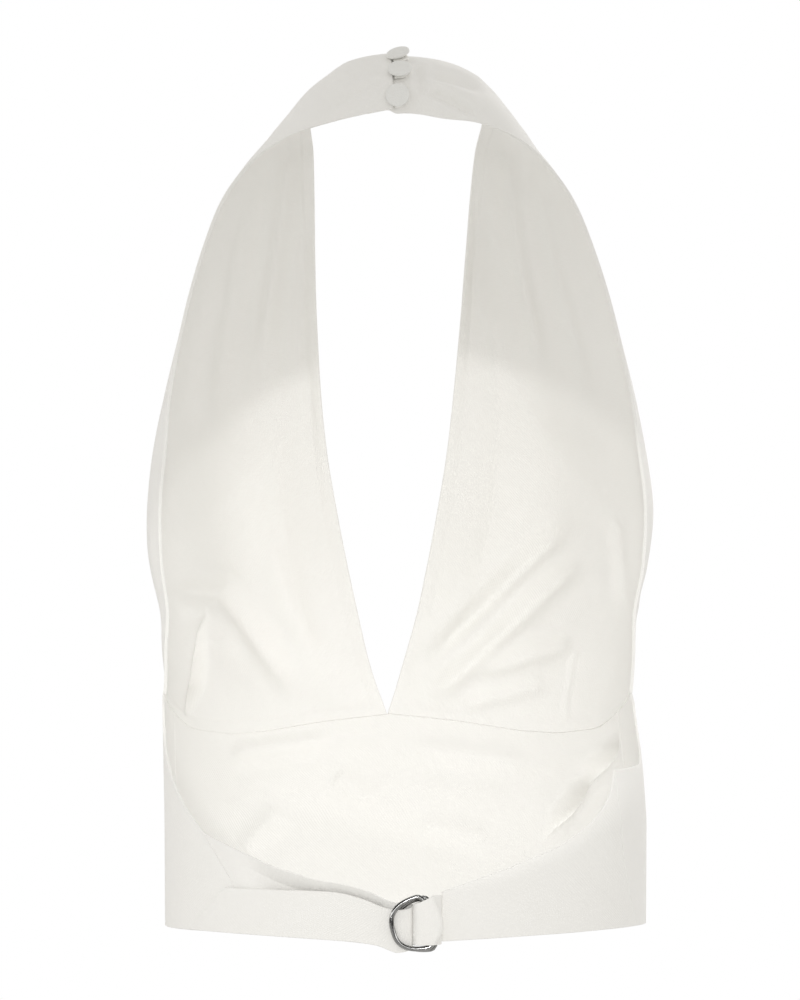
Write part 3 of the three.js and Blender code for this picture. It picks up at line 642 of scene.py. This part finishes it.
def halter_panel(side):
    name = "left" if side < 0 else "right"
    s = np.linspace(0, 1, steps(124) + 1)[None, :]
    t = np.linspace(0, 1, steps(330) + 1)[:, None]
    s, t = np.broadcast_arrays(s, t)
    points, row = halter_surface(s, t, side)
    outward = grid_normals(points)
    third = len(outward) // 3
    if np.sum(outward[third] * (points[third] - np.array(INSIDE_BODY))) < 0:
        outward = -outward
    keep = (1 - smooth(row, *BODY_CREASES_STOP)) * smooth(row, 0, 0.35)
    keep = keep * smooth(s, 0, 0.03) * smooth(1 - s, 0, 0.05)
    points = points + crease_shift(points, CREASES[f"halter_{name}"], outward) * keep[..., None]
    keep = smooth(row, *NAPE_CREASES_START) * smooth(s, 0, 0.08) * smooth(1 - s, 0, 0.08)
    points = points + crease_shift(points, CREASES["nape"], outward) * keep[..., None]
    # Turned edges: a second layer on the inside along the neck edge, and along the armhole
    to_neck, above_seam = lengths_along(points, 1), lengths_along(points, 0)
    to_arm = to_neck[:, -1:] - to_neck
    neck_width = NECK_TURN_WIDTH + NECK_TURN_MORE[side] * smooth(row, 7, 11)
    layer = NECK_TURN * edge_of(to_neck, neck_width, 0.7)
    layer = np.maximum(layer, ARMHOLE_TURN * edge_of(to_arm, ARMHOLE_TURN_WIDTH, 0.65))
    # The seam allowance above the bust seam, pressed upwards
    layer = np.maximum(layer, BUST_ALLOWANCE * edge_of(above_seam, BUST_ALLOWANCE_WIDTH, 0.6))
    faces_out = np.sum(grid_normals(points) * outward, -1).mean() > 0
    front = CLOTH / 2 + (0 if faces_out else layer)
    back = CLOTH / 2 + (layer if faces_out else 0)
    piece = shell(f"cloth_halter_{name}", points, front=front, back=back)
    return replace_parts(piece, f"halter_panel_{name}")


halter = {side: halter_panel(side) for side in (-1, 1)}


# The waist panel

def waist_surface(u, v):
    turn = lerp(-1, 1, u)
    angle = 180 - np.abs(turn) * (180 - FRONT_SIDE_SEAM - FRONT_SEAM_GAP)
    top = read(BUST_SEAM, angle) - SEAM_GAP
    side = np.where(turn < 0, -1, 1)
    return torso_point(angle, lerp(FRONT_HEM, top, v), side)


def waist_panel():
    u, v = np.meshgrid(np.linspace(0, 1, steps(300) + 1), np.linspace(0, 1, steps(110) + 1))
    points = waist_surface(u, v)
    outward = unit((points - np.array([WAIST_SHIFT, BODY_CENTRE, 0])) * np.array([1, 1, 0]))
    keep = smooth(v, 0, 0.08) * smooth(1 - v, 0, 0.03) * smooth(np.minimum(u, 1 - u), 0, 0.02)
    points = points + crease_shift(points, CREASES["waist"], outward) * keep[..., None]
    piece = shell("cloth_waist", points)
    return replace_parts(piece, "waist_panel")


waist = waist_panel()


# The side panels and back bands

def side_surface(u, v, name, side):
    seam = SIDE_BACK_SEAM[name][-1][1]
    top_angle = lerp(seam, FRONT_SIDE_SEAM, u)
    front = top_angle >= ARMHOLE_FOOT
    top = np.where(front, read(BUST_SEAM, top_angle) - SEAM_GAP, read(SIDE_TOP[name], top_angle))
    height = lerp(read(BACK_HEM, top_angle), top, v)
    seam_angle = read(SIDE_BACK_SEAM[name], np.minimum(height, SIDE_BACK_SEAM[name][-1][0]))
    angle = lerp(seam_angle + BAND_SEAM_GAP / 2, FRONT_SIDE_SEAM - FRONT_SEAM_GAP, u)
    return torso_point(angle, height, side)


def side_panel(side):
    name = "left" if side < 0 else "right"
    u, v = np.meshgrid(np.linspace(0, 1, steps(74) + 1), np.linspace(0, 1, steps(70) + 1))
    points = side_surface(u, v, name, side)
    piece = shell(f"cloth_side_{name}", points)
    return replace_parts(piece, f"side_panel_{name}")


def band_surface(u, v, name, side):
    end = abs(float(back_angle(np.array(BAND_ENDS[name]), np.array(-408.0))))
    end_angle = end * (1 if np.sign(BAND_ENDS[name] - WAIST_SHIFT) == side else -1)
    top_angle = lerp(end_angle, SIDE_BACK_SEAM[name][-1][1], u)
    height = lerp(read(BACK_HEM, top_angle), read(BAND_TOP[name], top_angle), v)
    seam_angle = read(SIDE_BACK_SEAM[name], height) - BAND_SEAM_GAP / 2
    return torso_point(lerp(end_angle, seam_angle, u), height, side)


def back_band(side):
    name = "left" if side < 0 else "right"
    u, v = np.meshgrid(np.linspace(0, 1, steps(130) + 1), np.linspace(0, 1, steps(54) + 1))
    points = band_surface(u, v, name, side)
    if side < 0:
        # The band sinks in behind the strap end that lies over it, and a dark gap shows
        below_top = points[-1:, :, 2] - points[..., 2]
        sunk = np.clip(below_top / SUNK_WHOLE, 0, 1) * (1 - smooth(below_top, SUNK_FROM, SUNK_NONE))
        sunk = sunk * smooth(points[..., 0], *SUNK_LEFT) * (1 - smooth(points[..., 0], *SUNK_RIGHT))
        points = points + (BAND_SUNK * sunk)[..., None] * np.array([0, 1, 0])
    piece = shell(f"cloth_band_{name}", points)
    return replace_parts(piece, f"back_band_{name}")


sides = {side: side_panel(side) for side in (-1, 1)}
bands = {side: back_band(side) for side in (-1, 1)}


# The strap's free end

def strap_surface(u, v):
    column = through(STRAP_PATH, v)
    along, out, low, high = (column[..., k] for k in range(4))
    height = lerp(low, high, u)
    place = along - TIP_SLANT * smooth(v, 0.55, 1) * (0.5 - u)
    angle = back_angle(place, height)
    return torso_point(np.abs(angle), height, np.where(angle < 0, -1, 1), out)


def strap_end():
    u, v = np.meshgrid(np.linspace(0, 1, steps(28) + 1), np.linspace(0, 1, 4 * steps(60) + 1))
    points = strap_surface(u, v)
    # The turned edge of the tip
    edge = 0.5 * edge_of(lengths_along(points[::-1], 0)[::-1], TIP_TURN, 0.3)
    piece = shell("cloth_strap", points, front=CLOTH / 2 + edge)
    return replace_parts(piece, "strap_end")


strap = strap_end()


# The loop of cloth round the bars of the rings

def buckle_spot(across, height, out):
    return np.stack(np.broadcast_arrays(across, BODY_CENTRE - BUCKLE_BACK - out, height), -1).astype(float)


def ring_loop():
    start, end, low, high, climb, out, corner = RING_LOOP
    left, right, bottom, top = start + CLOTH / 2 - LOOP_TUCK, end - SOLID_CLOTH / 2, 0.0, out
    radius = corner - SOLID_CLOTH / 2
    turn = np.radians(np.linspace(0, 90, 9))
    corners = [(right - radius, top - radius, 0), (left + radius, top - radius, 90),
               (left + radius, bottom + radius, 180), (right - radius, bottom + radius, 270)]
    arcs = []
    for x, y, first in corners:
        angle = turn + math.radians(first)
        arcs.append(np.stack([x + radius * np.cos(angle), y + radius * np.sin(angle)], -1))
    outline = np.concatenate(arcs)
    outline = np.concatenate([outline, outline[:1]])
    share = np.linspace(0, 1, steps(34) + 1)[:, None]
    x, out = outline[None, :, 0], outline[None, :, 1]
    height = lerp(low, high + climb * (x - start) / (end - start), share)
    # The filled loop bulges outwards, and its right edge is drawn in at the top and bottom
    front = smooth(out, 3.0, 8.0)
    drawn_in = LOOP_DRAWN_TOP * smooth(share, 0.45, 1.1) + LOOP_DRAWN_BOTTOM * smooth(1 - share, 0.7, 1.05)
    drawn_in = drawn_in * smooth(x, 7, 16.3)
    across = np.sin(np.pi * np.clip((x - start) / (end - start), 0, 1))
    bulge = LOOP_BULGE * front * np.sin(np.pi * share) ** 0.7 * across
    lapped = LOOP_LAPPED * smooth(out, 4.8, 6.6) * (1 - smooth(x, 5, 11))
    points = buckle_spot(x + 0.6 * front - drawn_in * smooth(out, 2.2, 5.0) - lapped, height,
                         out - 0.5 * front + bulge)
    piece = shell("cloth_ring_loop", points)
    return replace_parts(piece, "ring_loop")


loop = ring_loop()


def d_ring(name):
    across, height, out, tilt = RINGS[name]
    turn = np.radians(np.linspace(-90, 90, 74)[1:-1])
    power = 2 / RING_SQUARENESS
    arc = np.stack([-RING_DEPTH * np.cos(turn) ** power,
                    RING_HALF * np.sign(np.sin(turn)) * np.abs(np.sin(turn)) ** power], -1)
    bar = np.stack([np.zeros(12), np.linspace(1, -1, 12) * (RING_HALF - RING_CORNER)], -1)
    plan = np.concatenate([arc, bar])
    for _ in range(2):
        plan = (np.roll(plan, 1, 0) + 6 * plan + np.roll(plan, -1, 0)) / 8
    c, s = math.cos(math.radians(tilt)), math.sin(math.radians(tilt))
    along, up = plan.T
    path = buckle_spot(across + along * c - up * s, height + along * s + up * c, out)
    piece = tube(name.replace("d_ring", "wire_ring"), path, RING_WIRE, 20, METAL, closed=True)
    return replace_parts(piece, name)


for name in RINGS:
    d_ring(name)


# Buttons and loops at the nape

def button_frame(across, sideways):
    foot = nape_point(np.array(across), np.array(sideways), 0)
    out = halter_normal(np.array(across), nape_row(np.array(across), np.array(sideways)), 1)
    right = unit(np.array([1.0, 0, 0]) - out * out[0])
    return foot, np.cross(out, right), right, out


def turned(vector, axis, degrees):
    a = math.radians(degrees)
    kept = axis * axis.dot(vector) * (1 - math.cos(a))
    return vector * math.cos(a) + np.cross(axis, vector) * math.sin(a) + kept


def button(name):
    across, sideways, lean = BUTTON_ROW[name]
    foot, down, right, out = button_frame(across, sideways)
    side = unit(np.cross(down, out))
    up, along = turned(out, down, lean), turned(side, down, lean)
    start = foot + out * (SOLID_CLOTH / 2 + BUTTON_LIFT + (LEANING_LIFT if lean else 0))
    top = SHANK_HEIGHT + BUTTON_RIM
    profile = [(SHANK_RADIUS * 0.9, 0), (SHANK_RADIUS * 0.8, SHANK_HEIGHT * 0.5),
               (SHANK_RADIUS, SHANK_HEIGHT)]
    profile += [(BUTTON_RADIUS - inwards, SHANK_HEIGHT + above) for inwards, above in BUTTON_UNDERSIDE]
    profile += [(BUTTON_RADIUS * math.cos(a), top + (BUTTON_DOME - BUTTON_RIM + BUTTON_LIFT) * math.sin(a))
                for a in np.radians(np.linspace(8, 82, 10))]
    count = 40
    angle = np.linspace(0, 2 * np.pi, count, endpoint=False)
    verts = [start]
    for r, h in profile:
        pleat = 1 + PLEAT_DEPTH * np.cos(angle * PLEATS) * (h < SHANK_HEIGHT + 0.5) * (r > SHANK_RADIUS)
        verts += list(start + up * h + (r * pleat * np.cos(angle))[:, None] * down
                      + (r * pleat * np.sin(angle))[:, None] * along)
    verts.append(start + up * (SHANK_HEIGHT + BUTTON_DOME + BUTTON_LIFT))
    verts = np.array(verts)
    last = len(verts) - 1
    faces = []
    ring_at = lambda k, s: 1 + k * count + s % count
    for s in range(count):
        faces.append((0, ring_at(0, s), ring_at(0, s + 1)))
        faces.append((last, ring_at(len(profile) - 1, s + 1), ring_at(len(profile) - 1, s)))
        for k in range(len(profile) - 1):
            faces.append((ring_at(k, s), ring_at(k + 1, s), ring_at(k + 1, s + 1), ring_at(k, s + 1)))
    piece = build(f"covered_button_{name}", verts, faces, BUTTON_LOOK)
    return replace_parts(piece, f"button_{name}")


def button_loop(name):
    across, sideways, _ = BUTTON_ROW[name]
    foot, down, right, out = button_frame(across, sideways)
    start = NAPE_END[-1] + LOOP_CORD + 0.3 - sideways
    width = np.linalg.norm(nape_point(np.array(0.0), np.array(sideways), 0)
                           - nape_point(np.array(1.0), np.array(sideways), 0))
    turn = np.radians(np.linspace(-90, 90, 25))
    flat = [(lerp(start, 0, k / 8), -LOOP_BEND) for k in range(8)]
    flat += [(LOOP_BEND * math.cos(a), LOOP_BEND * math.sin(a)) for a in turn]
    flat += [(lerp(start, 0, k / 8), LOOP_BEND) for k in range(7, -1, -1)]
    path = []
    for x, y in flat:
        share = min(max(across + y / width, 0.02), 0.99)
        path.append(nape_point(np.array(share), (foot + right * x)[0], SOLID_CLOTH / 2 + 0.3 + LOOP_CORD))
    piece = tube(f"cord_loop_{name}", np.array(path), LOOP_CORD, 12, CORD_LOOK, up=out)
    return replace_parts(piece, f"loop_{name}")


for name in BUTTON_ROW:
    button(name)
    button_loop(name)


# Floor, light and camera

FLOOR_HEIGHT = -0.74
AMBIENT = 0.76
# What the metal mirrors: place from below (0) to above (1), and brightness
STUDIO_BANDS = [(0.30, 0.5), (0.38, 0.03), (0.54, 0.02), (0.59, 3.2), (0.66, 3.2), (0.71, 0.05), (0.9, 0.04)]


def floor():
    count, radius = 96, 2.1
    turn = np.linspace(0, 2 * np.pi, count, endpoint=False)
    verts = [(radius * math.cos(a), radius * math.sin(a), FLOOR_HEIGHT) for a in turn]
    mesh = bpy.data.meshes.new("floor")
    mesh.from_pydata(verts, [], [tuple(range(count))])
    mesh.update()
    material, _, shader = nodes_of("pale_floor")
    shader.inputs["Base Color"].default_value = (0.88, 0.88, 0.87, 1)
    shader.inputs["Roughness"].default_value = 0.8
    mesh.materials.append(material)
    piece = bpy.data.objects.new("floor", mesh)
    bpy.context.scene.collection.objects.link(piece)


def area_light(name, place, target, size, power):
    data = bpy.data.lights.new(name, "AREA")
    data.shape = "RECTANGLE"
    data.size, data.size_y = size
    data.energy = power
    aim(bpy.data.objects.new(name, data), place, target)


def spot_light(name, place, target, angle, blend, radius, power):
    data = bpy.data.lights.new(name, "SPOT")
    data.spot_size = math.radians(angle)
    data.spot_blend = blend
    data.shadow_soft_size = radius
    data.energy = power
    aim(bpy.data.objects.new(name, data), place, target)


def aim(thing, place, target):
    bpy.context.scene.collection.objects.link(thing)
    thing.location = place
    thing.rotation_euler = (Vector(target) - Vector(place)).to_track_quat("-Z", "Y").to_euler()


def world():
    """White behind the object, an even soft light from all round, and a banded studio in the metal."""
    data = bpy.data.worlds.new("studio")
    bpy.context.scene.world = data
    data.use_nodes = True
    tree = data.node_tree
    for node in list(tree.nodes):
        tree.nodes.remove(node)
    output = add(tree, "ShaderNodeOutputWorld")
    seen = add(tree, "ShaderNodeBackground")
    seen.inputs["Color"].default_value = (1, 1, 1, 1)
    seen.inputs["Strength"].default_value = 1.0
    soft = add(tree, "ShaderNodeBackground")
    soft.inputs["Color"].default_value = (1.0, 0.985, 0.96, 1)
    soft.inputs["Strength"].default_value = AMBIENT
    path = add(tree, "ShaderNodeLightPath")
    direction = add(tree, "ShaderNodeTexCoord")
    split = add(tree, "ShaderNodeSeparateXYZ")
    link(tree, direction.outputs["Generated"], split.inputs["Vector"])
    rise = add(tree, "ShaderNodeMapRange")
    rise.inputs["From Min"].default_value = -1
    link(tree, split.outputs["Z"], rise.inputs["Value"])
    bands = add(tree, "ShaderNodeValToRGB")
    ramp = bands.color_ramp
    ramp.interpolation = "EASE"
    ramp.elements[0].position, ramp.elements[0].color = 0.0, (0.9, 0.9, 0.9, 1)
    ramp.elements[1].position, ramp.elements[1].color = 1.0, (0.95, 0.95, 0.95, 1)
    for place, level in STUDIO_BANDS:
        ramp.elements.new(place).color = (level, level * 0.99, level * 0.97, 1)
    link(tree, rise.outputs["Result"], bands.inputs["Fac"])
    mirrored_room = add(tree, "ShaderNodeBackground")
    link(tree, bands.outputs["Color"], mirrored_room.inputs["Color"])
    inner = add(tree, "ShaderNodeMixShader")
    link(tree, path.outputs["Is Glossy Ray"], inner.inputs["Fac"])
    link(tree, soft.outputs["Background"], inner.inputs[1])
    link(tree, mirrored_room.outputs["Background"], inner.inputs[2])
    mix = add(tree, "ShaderNodeMixShader")
    link(tree, path.outputs["Is Camera Ray"], mix.inputs["Fac"])
    link(tree, inner.outputs["Shader"], mix.inputs[1])
    link(tree, seen.outputs["Background"], mix.inputs[2])
    link(tree, mix.outputs["Shader"], output.inputs["Surface"])


CAMERA_TURN = math.radians(3)
CAMERA_DISTANCE = 2.8
CAMERA_HEIGHT = -0.203
CAMERA_SIDEWAYS = 0.0014
SEEN_HEIGHT = 0.5
SENSOR_HEIGHT = 36


def camera():
    data = bpy.data.cameras.new("camera")
    data.sensor_fit = "VERTICAL"
    data.sensor_height = SENSOR_HEIGHT
    data.lens = SENSOR_HEIGHT * CAMERA_DISTANCE / SEEN_HEIGHT
    data.clip_end = 50
    piece = bpy.data.objects.new("camera", data)
    bpy.context.scene.collection.objects.link(piece)
    sine, cosine = math.sin(CAMERA_TURN), math.cos(CAMERA_TURN)
    x = CAMERA_SIDEWAYS * cosine - CAMERA_DISTANCE * sine
    y = -CAMERA_SIDEWAYS * sine - CAMERA_DISTANCE * cosine
    piece.location = (x, y + BODY_CENTRE * MM, CAMERA_HEIGHT)
    piece.rotation_euler = (math.radians(90), 0, -CAMERA_TURN)
    bpy.context.scene.camera = piece


floor()
world()
spot_light("low_fill", (-0.10, -2.5, 0.16), (-0.04, 0.10, -0.40), 18, 1.0, 0.15, 64)
spot_light("inside_key", (-0.10, -2.5, 0.05), (0.014, 0.17, -0.272), 6.3, 0.06, 0.006, 38)
spot_light("side_fill", (-0.9, -2.4, -0.5), (-0.118, -0.01, -0.41), 5, 1.0, 0.1, 20)
area_light("front_soft", (1.5, 2.4, 1.1), (0, 0.12, -0.2), (0.9, 0.9), 20)
area_light("front_low", (-2.2, 1.6, -0.1), (0, 0.12, -0.25), (0.8, 0.8), 5)
camera()
bpy.context.scene.view_settings.view_transform = "Standard"
